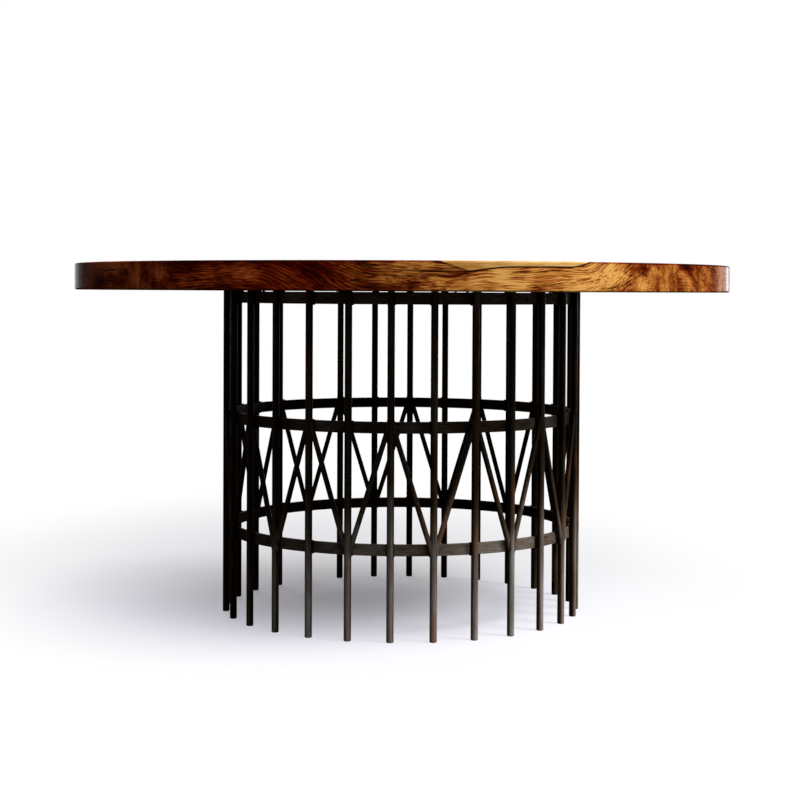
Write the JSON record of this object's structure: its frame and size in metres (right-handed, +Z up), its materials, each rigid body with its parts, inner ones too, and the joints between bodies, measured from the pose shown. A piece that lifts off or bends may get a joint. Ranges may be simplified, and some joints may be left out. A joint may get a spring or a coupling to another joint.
{
  "type": "round coffee table",
  "caption": "Round coffee table: thick solid wood top on an open drum of dark round steel bars with zigzag braces and flat bar hoops.",
  "frame": {"origin": "on the floor under the middle of the top", "axes": "+Z up, +X along the boards of the top to the right, -Y to the front"},
  "size_m": [0.915, 0.9148, 0.486],
  "materials": {
    "top_wood": "satin lacquer over figured red-brown hardwood with pale sapwood",
    "dark_steel": "blackened mild steel with a warm brown patina, waxed",
    "zinc_steel": "bright zinc plate"
  },
  "bodies": {
    "root": {"board_1": "top_wood", "board_2": "top_wood", "board_3": "top_wood", "board_4": "top_wood", "board_5": "top_wood", "board_6": "top_wood", "top_hoop": "dark_steel", "middle_hoop": "dark_steel", "lower_hoop": "dark_steel", "bar_01": "dark_steel", "bar_02": "dark_steel", "bar_03": "dark_steel", "bar_04": "dark_steel", "bar_05": "dark_steel", "bar_06": "dark_steel", "bar_07": "dark_steel", "bar_08": "dark_steel", "bar_09": "dark_steel", "bar_10": "dark_steel", "bar_11": "dark_steel", "bar_12": "dark_steel", "bar_13": "dark_steel", "bar_14": "dark_steel", "bar_15": "dark_steel", "bar_16": "dark_steel", "bar_17": "dark_steel", "bar_18": "dark_steel", "bar_19": "dark_steel", "bar_20": "dark_steel", "bar_21": "dark_steel", "bar_22": "dark_steel", "bar_23": "dark_steel", "bar_24": "dark_steel", "bar_25": "dark_steel", "bar_26": "dark_steel", "bar_27": "dark_steel", "bar_28": "dark_steel", "brace_pair_01": "dark_steel", "brace_pair_02": "dark_steel", "brace_pair_03": "dark_steel", "brace_pair_04": "dark_steel", "brace_pair_05": "dark_steel", "brace_pair_06": "dark_steel", "brace_pair_07": "dark_steel", "brace_pair_08": "dark_steel", "brace_pair_09": "dark_steel", "brace_pair_10": "dark_steel", "brace_pair_11": "dark_steel", "brace_pair_12": "dark_steel", "brace_pair_13": "dark_steel", "brace_pair_14": "dark_steel", "fixing_tabs": "dark_steel", "screw_washers": "zinc_steel", "top_screws": "zinc_steel"}
  },
  "joints": []
}
